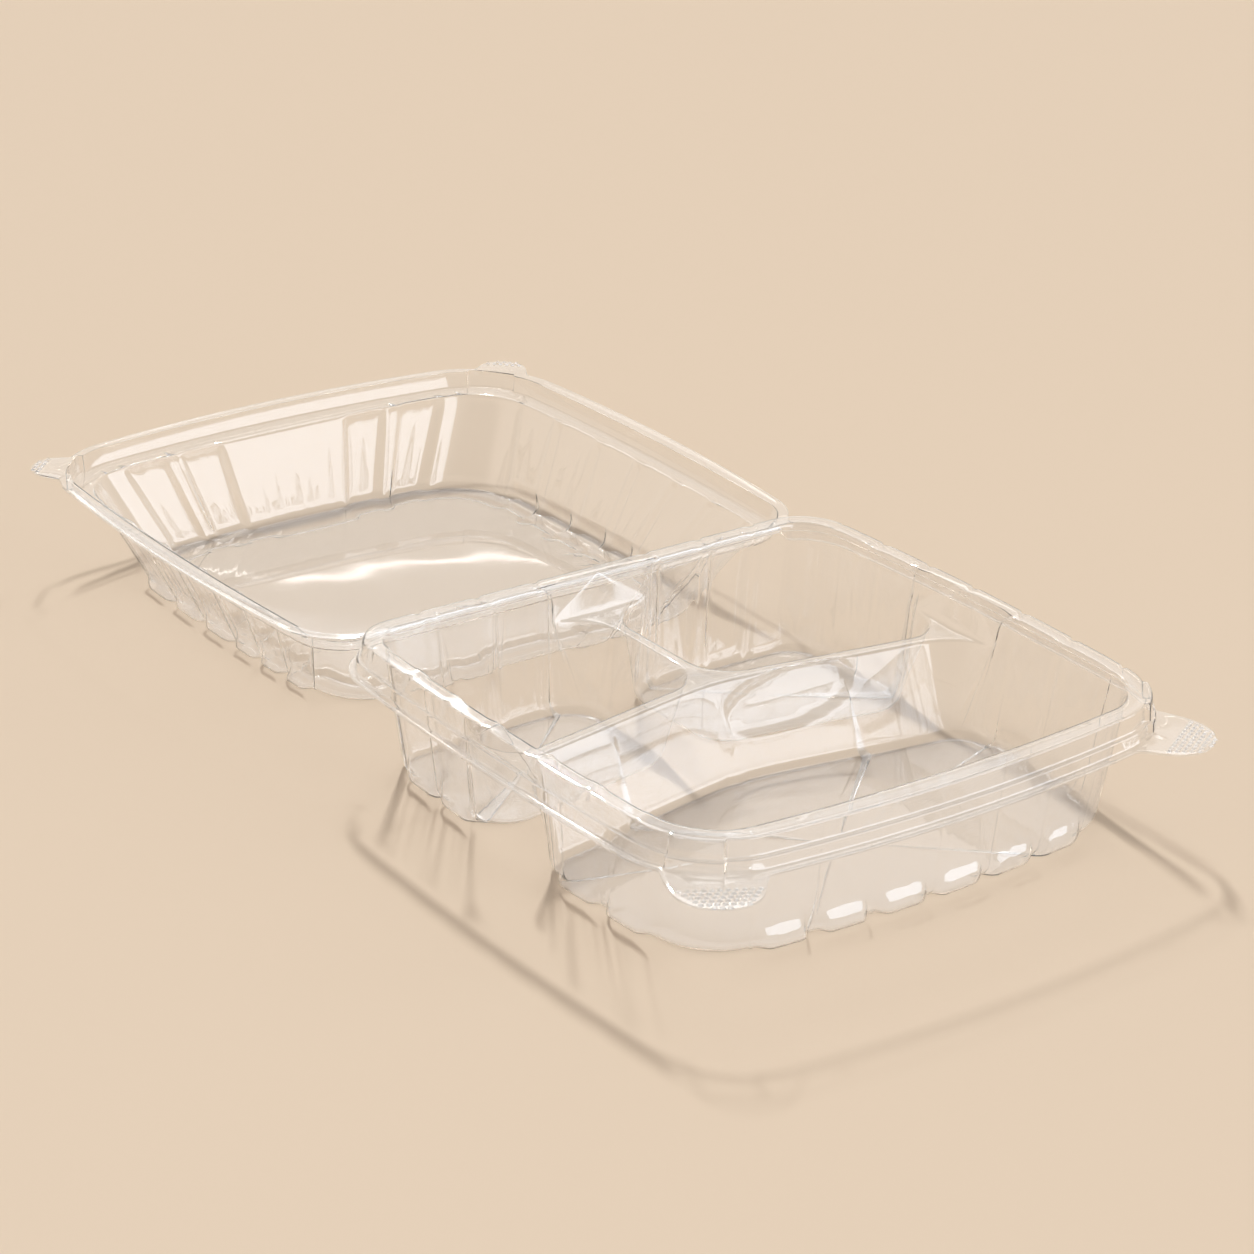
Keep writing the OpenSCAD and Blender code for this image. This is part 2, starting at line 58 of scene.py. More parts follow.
PANEL_RISE, PANEL_INSET, LID_CROWN, FLOOR_CROWN = 2.0, 12.0, 0.55, 0.1
BASE_FLUTE, LID_FLUTE, SCALLOP = 2.0, 3.0, 0.9
AXIS_H, HINGE_HALF, FIT_GAP = 4.3, 99.0, 0.3
TAB_R, TAB_IN, TAB_PAST, TAB_SPREAD = 16.0, 10.0, 2.6, 1.3
LID_TAB_R, LID_TAB_IN, LID_TAB_BACK = 10.0, 4.0, 7.0

# Samples of the outline: K to each sample of the CAD model's
K = 5
FLUTE_N = 4
REAR_N, SIDE_N, FRONT_N, REAR_ARC_N, FRONT_ARC_N = 14, 12, 24, 7, 9
SIDE_I = K * (REAR_N + REAR_ARC_N)
LEFT_I = SIDE_I + K * SIDE_N
FAR_I = LEFT_I + K * (SIDE_N + FRONT_ARC_N)
RING_N = 2 * FAR_I + K * FRONT_N
RIGHT_I = RING_N - LEFT_I

HW = FLANGE_W / 2
EDGE_Y = -FIT_GAP / 2
FRONT_Y = EDGE_Y - BASE_L
LAND_IN = BEAD_TOP + LAND_W
FLOOR_Z = SHEET_T - BASE_H
APEX_Y = DIVIDER_BEND - DIVIDER_Y
LID_HW = LID_W / 2
LID_FAR_Y = EDGE_Y - LID_L
LID_FLANGE_Z = 2 * AXIS_H - LEDGE_H - FIT_GAP
LID_LAND_Z = 2 * AXIS_H - BEAD_H - FIT_GAP
TAB = np.array([HW - TAB_IN, FRONT_Y - TAB_PAST])
LID_TAB = np.array([LID_HW - LID_TAB_IN, LID_FAR_Y + LID_TAB_BACK])
HINGE_Y = (max(TAB_R - TAB[1], FRONT_BOW - FRONT_Y) - (LID_FAR_BOW - LID_FAR_Y)) / 2
WALL_X, WALL_Y = HW - LAND_IN, EDGE_Y - LAND_IN
BEND = np.array([0.0, APEX_Y])
ZONE = REAR_DIV_RUN + FLOOR_R

# Forms that only this model has: the main divider's round bend, the saddles where dividers
# meet walls, notches in the rim, lobes at the foot of the walls
BEND_SOFT, BEND_REACH, BEND_FADE, BEND_FLARE = 13.0, 44.0, 14, 6.5
SADDLE_R, SADDLE_LIFT = 16.0, 1.6
RIM_NOTCH = 1.3
BASE_SPOON, BASE_FOOT_LOBE, LID_FOOT_LOBE = 3.6, 2.1, 1.6
# Where the flutes of the side walls stop beside the main divider, and how far they fade
FLUTE_STOP, FLUTE_FADE = 24.8, 3
# Draw marks in the walls: size and number round the wall
STREAKS = [(0.10, 61), (0.07, 97), (0.05, 139)]
# Finger dimple: middle and half width along X, level and half height as shares of the way
# down the divider, depth
DIMPLE_X, DIMPLE_HALF, DIMPLE_LEVEL, DIMPLE_TALL, DIMPLE_DEEP = 27, 32, 0.36, 0.25, 1.5
# Profile of the step round the lid's panel: shares of its inset and of its rise
PANEL_STEP = [(0.3, 0), (0.6, 0), (0.83, 0), (0.9, 0.12), (1.0, 0.6), (1.12, 0.95), (1.2, 1)]

# Looks: colours are linear, lengths from here on are metres
SHEET_TINT, KNURL_TINT = (0.99, 0.992, 0.995), (0.99, 0.99, 0.99)
# Painted shadow tint: shadow and diffuse rays that graze a sheet pass it darkened to this colour,
# so rims and steep walls cast darker lines of shade on the floor and under the object
PAINTED_SHADOW_TINT = (0.22, 0.17, 0.14)
FLOOR_COLOUR = (0.78, 0.63, 0.48)
FLOOR_HALF = 6.0
KEY_PLACE, KEY_POWER, KEY_RADIUS = (0.292, 0.547, 0.618), 15.5, 0.03
SKY_LOW, SKY_HIGH = (0.92, 0.85, 0.77), (0.16, 0.16, 0.16)
# Strength of the sky behind and in front of the object
SKY, SKY_FRONT = 1.0, 0.65
# Soft boxes: azimuth from +Y to +X and elevation in degrees, half width and half height,
# soft edge, strength, colour
BOXES = [
    (143, 12, (0.58, 0.30), 0.12, 2.3, (0.90, 0.98, 1.10)),
    (36, 48, (0.28, 0.20), 0.08, 2.2, (0.96, 0.99, 1.03)),
    (38, 23.15, (0.5, 0.0005), 0.0026, 2.3, (1.0, 1.0, 1.0)),
    (38, 27.2, (0.5, 0.028), 0.02, 0.3, (0.9, 1.0, 1.15)),
]


def row(points):
    """Millimetres from the hinge's middle to metres in the row frame."""
    return (np.asarray(points, float) + [0, HINGE_Y, BASE_H]) / 1000


def mix(a, b, t):
    return a + (b - a) * t


def ease(t):
    t = np.clip(t, 0, 1)
    return t * t * (3 - 2 * t)


def unit(v):
    return v / np.maximum(np.linalg.norm(v, axis=-1, keepdims=True), 1e-9)


def with_z(plan, z):
    return np.column_stack([plan, np.broadcast_to(z, len(plan))])


def bowed(p, half=HW, span=BASE_L, side=SIDE_BOW, front=FRONT_BOW):
    """Bows points of a straight-sided plan outward."""
    yy = np.clip(2 * p[:, 1] / span + 1, -1, 1)
    xx = np.clip(p[:, 0] / half, -1, 1)
    deep = np.clip(-p[:, 1] / span, 0, 1)
    q = p.copy()
    q[:, 0] += side * (1 - yy * yy) * p[:, 0] / half
    q[:, 1] -= front * (1 - xx * xx) * deep * deep
    return q


def settled(p):
    """Bows points of the base and rounds the bend of its main divider."""
    x = np.abs(p[:, 0])
    near = ease((BEND_REACH - np.abs(p[:, 1] - APEX_Y)) / BEND_FADE)
    q = p.copy()
    q[:, 1] -= DIVIDER_BEND / WALL_X * (np.sqrt(x * x + BEND_SOFT ** 2) - x) * near
    return bowed(q)


def line(a, b, n):
    return mix(np.array(a, float), np.array(b, float), np.arange(n * K)[:, None] / (n * K))


def arc(c, r, start, n):
    a = np.radians(start + 90 * np.arange(n * K) / (n * K))
    return np.array(c, float) + r * np.column_stack([np.cos(a), np.sin(a)])


def outline(half, rear, front, rr, fr):
    """Straight-sided outline from the middle of the hinge side round by -X."""
    return np.concatenate([
        line([0, rear], [rr - half, rear], REAR_N),
        arc([rr - half, rear - rr], rr, 90, REAR_ARC_N),
        line([-half, rear - rr], [-half, -DIVIDER_Y], SIDE_N),
        line([-half, -DIVIDER_Y], [-half, front + fr], SIDE_N),
        arc([fr - half, front + fr], fr, 180, FRONT_ARC_N),
        line([fr - half, front], [half - fr, front], FRONT_N),
        arc([half - fr, front + fr], fr, 270, FRONT_ARC_N),
        line([half, front + fr], [half, -DIVIDER_Y], SIDE_N),
        line([half, -DIVIDER_Y], [half, rear - rr], SIDE_N),
        arc([half - rr, rear - rr], rr, 0, REAR_ARC_N),
        line([half - rr, rear], [0, rear], REAR_N),
    ])


def steady(v, n):
    return np.tile(np.array(v, float), (n * K, 1))


OUT = np.concatenate([
    steady([0, 1], REAR_N), arc([0, 0], 1, 90, REAR_ARC_N), steady([-1, 0], 2 * SIDE_N),
    arc([0, 0], 1, 180, FRONT_ARC_N), steady([0, -1], FRONT_N), arc([0, 0], 1, 270, FRONT_ARC_N),
    steady([1, 0], 2 * SIDE_N), arc([0, 0], 1, 0, REAR_ARC_N), steady([0, 1], REAR_N),
])


def stretch_waves(n, first, last, past=1.0):
    """Broad lobes and narrow ribs between them, for a stretch of n CAD samples."""
    i = np.arange(n * K) / K
    u = (i - first) / FLUTE_N
    phase = u - np.floor(u)
    lobe = ease((0.46 - np.abs(phase - 0.5)) / 0.2) * ((i >= first) & (i < last))
    centre = np.abs(u - np.round(u))
    inside = (i > first - past) & (i < last + past)
    rib = ease((0.07 - centre) / 0.035) * inside
    return np.column_stack([lobe, rib])


def around(left, front, right):
    flat_rear = np.zeros((REAR_ARC_N * K, 2))
    flat_front = np.zeros((FRONT_ARC_N * K, 2))
    side = stretch_waves(2 * SIDE_N, 0, 2 * SIDE_N)
    return np.concatenate([
        left, flat_rear, side, flat_front, front, flat_front, side, flat_rear, right
    ])


REAR_LEFT = stretch_waves(REAR_N, FLUTE_N, REAR_N - 2)
REAR_RIGHT = stretch_waves(REAR_N, 2, REAR_N - FLUTE_N)
BASE_WAVES = around(REAR_LEFT, stretch_waves(FRONT_N, 0, FRONT_N), REAR_RIGHT)
SMOOTH_FRONT = around(REAR_LEFT, np.zeros((FRONT_N * K, 2)), REAR_RIGHT)
LID_WAVES = around(REAR_LEFT, np.concatenate([
    stretch_waves(FRONT_N // 2, 0, 2 * FLUTE_N, -1),
    stretch_waves(FRONT_N // 2, FLUTE_N, 3 * FLUTE_N, -1)
]), REAR_RIGHT)

FLANGE_LINE = outline(HW, EDGE_Y, FRONT_Y, REAR_R, FRONT_R)
LID_LINE = outline(LID_HW, EDGE_Y, LID_FAR_Y, REAR_R, FRONT_R)

# The main divider meets the side walls, where the flutes fade out
near_divider = ease((np.abs(FLANGE_LINE[:, 1] + DIVIDER_Y) - FLUTE_STOP) / FLUTE_FADE)
on_side = (np.arange(RING_N) >= SIDE_I) & (np.arange(RING_N) < RING_N - SIDE_I)
BASE_WAVES[on_side] *= near_divider[on_side, None]


def snap_share(p):
    d = np.hypot(np.abs(p[:, 0]) - HW + FRONT_R * (1 - math.sin(math.radians(45))),
                 p[:, 1] - FRONT_Y - FRONT_R * (1 - math.sin(math.radians(45))))
    return np.where(p[:, 1] < -DIVIDER_Y, ease((SNAP_W / 2 + 0.8 - d) / 0.7), 0)


def rear_share(p):
    return np.where(p[:, 1] > -REAR_R, ease((HINGE_HALF + 3 - np.abs(p[:, 0])) / 5), 0)


SNAP = snap_share(FLANGE_LINE)
REAR = rear_share(FLANGE_LINE)


def tab_reach(edge, tab, r, root):
    """How far a tab reaches beyond each point of the flange's edge."""
    step = 0.15
    steps = np.arange(0, 45, step)
    reach = np.zeros(RING_N)
    shares = np.linspace(0, 1, 21)
    for side in (-1, 1):
        a, b = tab * [side, 1], root * [side, 1]
        centres = mix(a, b, shares[:, None])
        radii = mix(r, r * TAB_SPREAD, shares)
        q = edge[:, None, :2] + OUT[:, None] * steps[None, :, None]
        d = np.linalg.norm(q[:, :, None] - centres, axis=-1) - radii
        inside = d.min(axis=2) < 0
        joined = np.cumprod(inside, axis=1).sum(axis=1) * step
        reach = np.maximum(reach, np.where(edge[:, 1] < -DIVIDER_Y, joined, 0))
    kernel = np.array([1, 2, 1]) / 4
    return np.convolve(reach, kernel, "same")


BASE_REACH = tab_reach(bowed(FLANGE_LINE), TAB, TAB_R, TAB + [-TAB_R, 1.4 * TAB_R])
LID_REACH = tab_reach(bowed(LID_LINE, LID_HW, LID_L, LID_SIDE_BOW, LID_FAR_BOW), LID_TAB,
                      LID_TAB_R, LID_TAB + [-LID_TAB_R, LID_TAB_R])


def rounded(control, r):
    """Rounds the corners of a profile whose first two columns are inset and height."""
    c = np.array(control, float)
    rows = [c[0]]
    for a, b, d in zip(c[:-2], c[1:-1], c[2:]):
        p = b + (a - b) * min(0.45, r / np.hypot(*(a - b)[:2]))
        q = b + (d - b) * min(0.45, r / np.hypot(*(d - b)[:2]))
        rows += [p, (p + 2 * b + q) / 4, q]
    return np.array(rows + [c[-1]])


def rim_rings(control, edge, waves, r, reach):
    """Rings of a rim. Columns: inset, height, height at the hinge, snap, scallop, tab, notch."""
    rings = []
    for inset, z, hinge_z, push, scallop, tab, notch in rounded(control, r):
        out = push * SNAP_OUT * SNAP + scallop * SCALLOP * waves[:, 0] + tab * reach - inset
        out -= notch * RIM_NOTCH * waves[:, 1]
        rings.append(with_z(edge + OUT * out[:, None], mix(z, hinge_z, REAR)))
    return rings


BASE_RIM = rim_rings([
    (0, -0.55, AXIS_H - 0.3, 0, 0, 1, 0),
    (0.15, 0, AXIS_H, 0, 0, 1, 0),
    (BEAD_FOOT, 0, LEDGE_H, 1, 0, 0, 0),
    (BEAD_FOOT + 0.4, LEDGE_H, LEDGE_H, 1, 0, 0, 0),
    (BEAD_TOP - SKIRT_DRAFT, LEDGE_H, LEDGE_H, 1, 0, 0, 0),
    (BEAD_TOP, BEAD_H - 0.1, BEAD_H - 0.1, 1, 0, 0, 1),
    (BEAD_TOP + 2.2, BEAD_H, BEAD_H, 0.3, 0.3, 0, 1),
    (LAND_IN, BEAD_H, BEAD_H, 0, 1, 0, 0),
], FLANGE_LINE, SMOOTH_FRONT, 0.8, BASE_REACH)
LAND = BASE_RIM[-1]

LID_RIM_PROFILE = [
    (BEAD_TOP - 1.5 * SKIRT_DRAFT - FIT_GAP, LID_FLANGE_Z, LID_FLANGE_Z, 1, 0, 0, 0),
    (BEAD_TOP - FIT_GAP, LID_LAND_Z, LID_LAND_Z, 1, 0, 0, 0),
    (BEAD_TOP + 2.2, LID_LAND_Z, LID_LAND_Z, 0.3, 0, 0, 0),
    (LID_LAND_IN, LID_LAND_Z, LID_LAND_Z, 0, 1, 0, 0),
]


def lid_rim():
    """The lid's rim, from its own flange line to the groove over the base's bead."""
    outer = []
    for inset, z in ((0, LID_FLANGE_Z - 0.5), (0.12, LID_FLANGE_Z - 0.1), (0.5, LID_FLANGE_Z)):
        ring = with_z(LID_LINE + OUT * (LID_REACH - inset)[:, None], z)
        outer.append(bowed(ring, LID_HW, LID_L, LID_SIDE_BOW, LID_FAR_BOW))
    inner = rim_rings(LID_RIM_PROFILE, FLANGE_LINE, LID_WAVES, 0.8, LID_REACH)
    return outer, inner


def corner_foot(c, u, v, fu, fv, r, d):
    """Foot of the samples at distances d from a corner at c along u, beside lines u and v."""
    c, u, v = (np.array(x, float) for x in (c, u, v))
    side = np.sign(u[0] * v[1] - u[1] * v[0])
    nu, nv = np.array([-u[1], u[0]]) * side, -np.array([-v[1], v[0]]) * side
    p, q = c + nu * (fu + r), c + nv * (fv + r)
    o = p + u * ((q[0] - p[0]) * v[1] - (q[1] - p[1]) * v[0]) / (u[0] * v[1] - u[1] * v[0])
    zone = (o - c) @ u
    d = np.atleast_1d(np.asarray(d, float))
    t = np.clip(1 - d / zone, 0, 1)[:, None] / 2
    return np.where(t > 0, o - unit(mix(nu, nv, t)) * r, c + u * d[:, None] + nu * fu)


def stops(length, mid):
    near = ZONE * (np.arange(1, 6 * K + 1) / (6 * K)) ** 1.8
    middle = mix(ZONE, length - ZONE, np.arange(1, mid * K + 1) / (mid * K))
    last = mix(length - ZONE, length, np.arange(1, 5 * K) / (5 * K))
    return np.concatenate([near, middle, last])


def divider_top(d, run):
    a, b = BEAD_H - d * (BEAD_H - FLOOR_Z) / run, -DIVIDER_DROP
    return np.minimum(BEAD_H, (a + b + np.sqrt((a - b) ** 2 + 16)) / 2)


LONG_L = math.hypot(WALL_X, DIVIDER_BEND)
SHORT_L = WALL_Y - APEX_Y
LONG_D, SHORT_D = stops(LONG_L, 5), stops(SHORT_L, 2)
SHORT_END = np.array([0.0, WALL_Y])
UP, DOWN = np.array([0.0, 1.0]), np.array([0.0, -1.0])


def long_end(side):
    return np.array([side * WALL_X, -DIVIDER_Y])


def to_wall(side):
    return unit(long_end(side) - BEND)


def divider_line(start, dists, run):
    return with_z(start + unit(BEND - start) * dists[:, None], divider_top(dists, run))


LINES = {
    "left": divider_line(long_end(-1), LONG_D, SIDE_RUN),
    "right": divider_line(long_end(1), LONG_D, SIDE_RUN),
    "short": divider_line(SHORT_END, SHORT_D, END_RUN),
}
BEND_TOP = np.array([[0, APEX_Y, -DIVIDER_DROP]])

CAVITY_FOOT = outline(HW - LAND_IN - SIDE_RUN, EDGE_Y - LAND_IN - END_RUN,
                      FRONT_Y + LAND_IN + END_RUN, FLOOR_R, OUTER_FLOOR_R)
LID_FOOT = outline(LID_HW - LID_LAND_IN - LID_SIDE_RUN - (LID_W - FLANGE_W) / 2,
                   EDGE_Y - LID_LAND_IN - LID_END_RUN,
                   FRONT_Y + LID_LAND_IN + LID_END_RUN, LID_FLOOR_R, LID_FLOOR_R)


class Cell:
    """A compartment's edge: indices, points, feet, flat widths, flutes, lateness."""

    def __init__(self):
        self.parts = []

    def add(self, ids, edge, foot, half, flute=0.0, late=0.0, out=None, kind=0, saddle=None):
        n = len(ids)
        shoulder, share = (np.zeros((n, 3)), np.zeros(n)) if saddle is None else saddle
        out = np.zeros((n, 2)) if out is None else out
        flute = np.broadcast_to(flute, (n, 2)) if np.ndim(flute) else np.zeros((n, 2))
        self.parts.append((np.asarray(ids), np.asarray(edge, float), np.asarray(foot, float),
                           np.broadcast_to(half, n), flute, np.broadcast_to(late, n), out,
                           np.full(n, kind), shoulder, share))

    def join(self):
        return [np.concatenate(x) for x in zip(*self.parts)]


def wall_feet(i, side):
    """Feet of the base's wall samples i, beside both of a compartment's dividers."""
    p, foot = LAND[i][:, :2], CAVITY_FOOT[i].copy()
    plain = np.ones(len(i), bool)
    if side:
        d = p[:, 1] + DIVIDER_Y
        beside = (i >= SIDE_I) & (i < RING_N - SIDE_I) & (d < ZONE)
        foot[beside] = corner_foot(long_end(side), UP, -to_wall(side), SIDE_RUN, REAR_DIV_RUN,
                                   FLOOR_R, d[beside])
        rear = (p[:, 1] > WALL_Y - 2) & (np.abs(p[:, 0]) < ZONE)
        foot[rear] = corner_foot(SHORT_END, [side, 0], DOWN, END_RUN, REAR_DIV_RUN, FLOOR_R,
                                 np.abs(p[rear, 0]))
        plain &= ~(beside | rear)
    else:
        for s in (-1, 1):
            d = -DIVIDER_Y - p[:, 1]
            beside = (d < FRONT_DIV_RUN + FLOOR_R) & (np.sign(p[:, 0]) == s)
            foot[beside] = corner_foot(long_end(s), DOWN, -to_wall(s), SIDE_RUN, FRONT_DIV_RUN,
                                       FLOOR_R, d[beside])
            plain &= ~beside
    return foot, plain


def wall_inset(z, run):
    return (BEAD_H - z) * run / (BEAD_H - FLOOR_Z)


def saddle_on_divider(start, away, along, dists, tops, run):
    """Outer edge of the saddle beside a divider's samples, where the divider meets a wall."""
    first = wall_inset(-DIVIDER_DROP, run)
    x = np.clip(SADDLE_R + first - dists, 0, SADDLE_R)
    steep = np.clip((tops + DIVIDER_DROP) / (BEAD_H + DIVIDER_DROP), 0, 1)
    side = DIVIDER_HALF + SADDLE_R - np.sqrt(SADDLE_R ** 2 - x * x) + 2 * steep
    z = -DIVIDER_DROP + SADDLE_LIFT * (x / SADDLE_R) ** 2 + steep
    deep = np.where(dists < first, wall_inset(z, run), dists)
    plan = start + away * deep[:, None] + np.array(along, float) * side[:, None]
    return with_z(plan, z), ease((SADDLE_R + first + 2 - dists) / 3)


def saddle_on_wall(start, away, along, p, run):
    """Where a wall's samples beside a divider leave the wall."""
    d = (p - start) @ np.array(along, float)
    z = -DIVIDER_DROP + SADDLE_LIFT + 1 + 0.1 * d
    plan = (start + away * wall_inset(z, run)[:, None]
            + np.array(along, float) * (SADDLE_R + DIVIDER_HALF + 2 + 0.5 * d)[:, None])
    return with_z(plan, z), 1 - ease(d / 30)


def wall_saddle(i, side):
    p = LAND[i][:, :2]
    shoulder, share = np.zeros((len(i), 3)), np.zeros(len(i))
    beside_side = (i >= SIDE_I) & (i <= RING_N - SIDE_I)
    if side:
        spots = [(beside_side, long_end(side), -to_wall(side), UP, SIDE_RUN),
                 (~beside_side & (p[:, 1] > WALL_Y - 2), SHORT_END, DOWN, [side, 0], END_RUN)]
    else:
        spots = [(beside_side & (np.sign(p[:, 0]) == s), long_end(s), -to_wall(s), DOWN, SIDE_RUN)
                 for s in (-1, 1)]
    for mask, start, away, along, run in spots:
        shoulder[mask], share[mask] = saddle_on_wall(start, away, along, p[mask], run)
    return shoulder, share


def flares(dists, length, spread):
    """Half width of a divider's flat top, wider by spread where the dividers meet."""
    return DIVIDER_HALF + spread * np.clip(1 - (length - dists) / 18, 0, 1) ** 2


def rear_feet(side):
    near = corner_foot(long_end(side), -to_wall(side), UP, REAR_DIV_RUN, SIDE_RUN, FLOOR_R, LONG_D)
    far = corner_foot(BEND, to_wall(side), UP, REAR_DIV_RUN, REAR_DIV_RUN, FLOOR_R,
                      LONG_L - LONG_D)
    return np.where((LONG_D < LONG_L / 2)[:, None], near, far)


def front_feet(side):
    away = -to_wall(side)
    near = corner_foot(long_end(side), away, DOWN, FRONT_DIV_RUN, SIDE_RUN, FLOOR_R, LONG_D)
    out = np.array([side * away[1], -abs(away[0])])
    far = long_end(side) + away * LONG_D[:, None] + out * FRONT_DIV_RUN
    return np.where((LONG_D < LONG_L / 2)[:, None], near, far)


def short_feet(side):
    near = corner_foot(SHORT_END, DOWN, [side, 0], REAR_DIV_RUN, END_RUN, FLOOR_R, SHORT_D)
    far = corner_foot(BEND, UP, to_wall(side), REAR_DIV_RUN, REAR_DIV_RUN, FLOOR_R,
                      SHORT_L - SHORT_D)
    return np.where((SHORT_D < SHORT_L / 2)[:, None], near, far)


WALL_HALF = 0.9
EDGE_N, FILLET_N = 4, 5
WALL_SHARES = np.array([0.07, 0.15, 0.24, 0.33, 0.42, 0.51, 0.6, 0.68, 0.74, 0.79, 0.83, 0.87,
                        0.91, 0.955, 1])
WALL_N = len(WALL_SHARES)
FLOOR_SHARES = (0.06, 0.16, 0.3, 0.5, 0.75)
PANEL_SHARES = (0.05, 0.12, 0.2, 0.3, 0.4, 0.5, 0.6, 0.7, 0.8, 0.9)


def curve(p, q, r, ts):
    return [(1 - t) ** 2 * p + 2 * t * (1 - t) * q + t * t * r for t in ts]


def way_down(run, top, flat):
    """Plan distances and heights of the levels from a compartment's edge to its floor."""
    def at(w, z):
        return np.column_stack([np.broadcast_to(w, len(run)), np.broadcast_to(z, len(run))])
    start = at(flat + 0.9, top - 1.6)
    end = at(run - 0.8 * FILLET_R, FLOOR_Z + FILLET_R)
    levels = curve(at(flat - 0.7, top - 0.02), at(flat + 0.45, top - 0.05), start,
                   np.linspace(0, 1, EDGE_N))
    levels += [mix(start, end, t) for t in WALL_SHARES]
    levels += curve(end, at(run - 0.45 * FILLET_R, FLOOR_Z), at(run + 0.5 * FILLET_R, FLOOR_Z),
                    np.arange(1, FILLET_N + 1) / FILLET_N)
    return levels


def streaks(edge):
    """Faint upright draw marks in the walls, by their place along the rim."""
    t = np.arctan2(edge[:, 0], edge[:, 1] + BASE_L / 2)
    return sum(size * np.sin(n * t + n * n) for size, n in STREAKS)


def cell_rings(cell, depth, spoon, foot_lobe):
    """Rings of a compartment, edge to floor, with its flutes, ribs and finger dimple."""
    ids, edge, foot, half, flute, late, out, kind, shoulder, share = cell.join()
    way = foot - edge[:, :2]
    run = np.linalg.norm(way, axis=1)
    way = unit(way)
    plain = with_z(edge[:, :2] + way * half[:, None], edge[:, 2])
    lean = (shoulder - plain) * share[:, None]
    streak = streaks(edge)
    rings = []
    stays = np.concatenate([np.ones(EDGE_N), 1 - WALL_SHARES, np.zeros(FILLET_N)])
    for level, stay in zip(way_down(run, edge[:, 2], half), stays):
        w, z = level[:, 0], level[:, 1]
        f = np.clip(w / run, 0, 1)
        h = np.clip((edge[:, 2] - z) / (edge[:, 2] - FLOOR_Z), 0, 1)
        full = ease(h / 0.1) * (0.35 + spoon * h * (1 - h) + 0.65 * h * (spoon == 0))
        grow = mix(full, foot_lobe * np.clip((h - 0.8) / 0.19, 0, 1), late)
        rib = ease(h / 0.06) * ease((1.04 - h) / 0.06) * mix(1.1, 0.9, late)
        push = flute[:, 0] * depth * grow + flute[:, 1] * rib
        push += streak * ease(h / 0.2) * ease((1 - h) / 0.2) * (np.abs(out).sum(axis=1) > 0)
        plan = edge[:, :2] + way * w[:, None] + out * push[:, None]
        if kind.any():
            x = edge[:, 0] - DIMPLE_X
            bent = f - DIMPLE_LEVEL + 0.1 * x / 31
            r = np.sqrt((x / DIMPLE_HALF) ** 2 + (bent / DIMPLE_TALL) ** 2)
            sink = DIMPLE_DEEP * ease((1 - r) / 0.22) * (kind == 1)
            plan = plan + np.array([0, 0.885]) * sink[:, None]
            z = z - 0.465 * sink
        rings.append(with_z(plan, z) + lean * stay)
    return ids, rings


def crowned(points, box, height):
    """Lifts a floor's points as a shallow dome inside a box of its lowest and highest corners."""
    middle, half = (box[0] + box[1]) / 2, (box[1] - box[0]) / 2
    u = np.clip((points[:, :2] - middle) / half, -1, 1)
    lift = height * (1 - u[:, 0] ** 8) * (1 - u[:, 1] ** 2)
    return points + with_z(np.zeros((len(points), 2)), lift)


def floor_rings(last, shares, height, box):
    """Rings from a ring to its middle, and that middle point, on a shallow dome."""
    centre = last.mean(axis=0)
    rings = [crowned(mix(last, centre, s), box, height) for s in shares]
    return rings, crowned(centre[None], box, height)


def add_mesh(name, vertices, faces, material, body=None, sharp=50):
    mesh = bpy.data.meshes.new(name)
    mesh.from_pydata(vertices.tolist(), [], [list(map(int, f)) for f in faces])
    mesh.validate()
    mesh.polygons.foreach_set("use_smooth", [True] * len(mesh.polygons))
    mesh.update()
    mesh.set_sharp_from_angle(angle=math.radians(sharp))
    mesh.materials.append(material)
    obj = bpy.data.objects.new(name, mesh)
    bpy.context.scene.collection.objects.link(obj)
    if body:
        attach(obj, body)
    return obj


def band(a, b):
    """Quads between two closed rings of indices, the second inside the first."""
    return np.column_stack([a, np.roll(a, -1), np.roll(b, -1), b])


def point_normals(points, quads, fans):
    total = np.zeros_like(points)
    for f in (quads, fans):
        p = points[f]
        four = f.shape[1] == 4
        n = np.cross(p[:, 2] - p[:, 0], p[:, -1] - p[:, 1] if four else p[:, 1] - p[:, 0])
        n = n if four else -n
        for k in range(f.shape[1]):
            np.add.at(total, f[:, k], n)
    return unit(total)


class Sheet:
    """Collects rings of points and the quads between them, and closes them as a sheet."""

    def __init__(self):
        self.points, self.quads, self.fans, self.count = [], [], [], 0

    def put(self, points):
        ids = np.arange(self.count, self.count + len(points))
        self.points.append(points)
        self.count += len(points)
        return ids

    def bridge(self, a, b):
        self.quads.append(band(a, b))

    def close(self, ring, centre):
        c = self.put(centre[None])[0]
        self.fans.append(np.column_stack([ring, np.roll(ring, -1), np.full(len(ring), c)]))

    def build(self, name, material, body, mirror=False):
        points = np.concatenate(self.points)
        quads, fans = np.concatenate(self.quads), np.concatenate(self.fans)
        normals = point_normals(points, quads, fans)
        normals[:RING_N] = [0, 0, 1]
        n = len(points)
        under = points - normals * SHEET_T
        rim = np.arange(RING_N)
        strip = np.column_stack([rim, rim + n, np.roll(rim, -1) + n, np.roll(rim, -1)])
        every = [quads, quads[:, ::-1] + n, strip, fans, fans[:, ::-1] + n]
        points = np.concatenate([points, under])
        if mirror:
            points = points * [1, -1, 1]
            every = [f[:, ::-1] for f in every]
        faces = [f for group in every for f in group.tolist()]
        return add_mesh(name, row(points), faces, material, body)


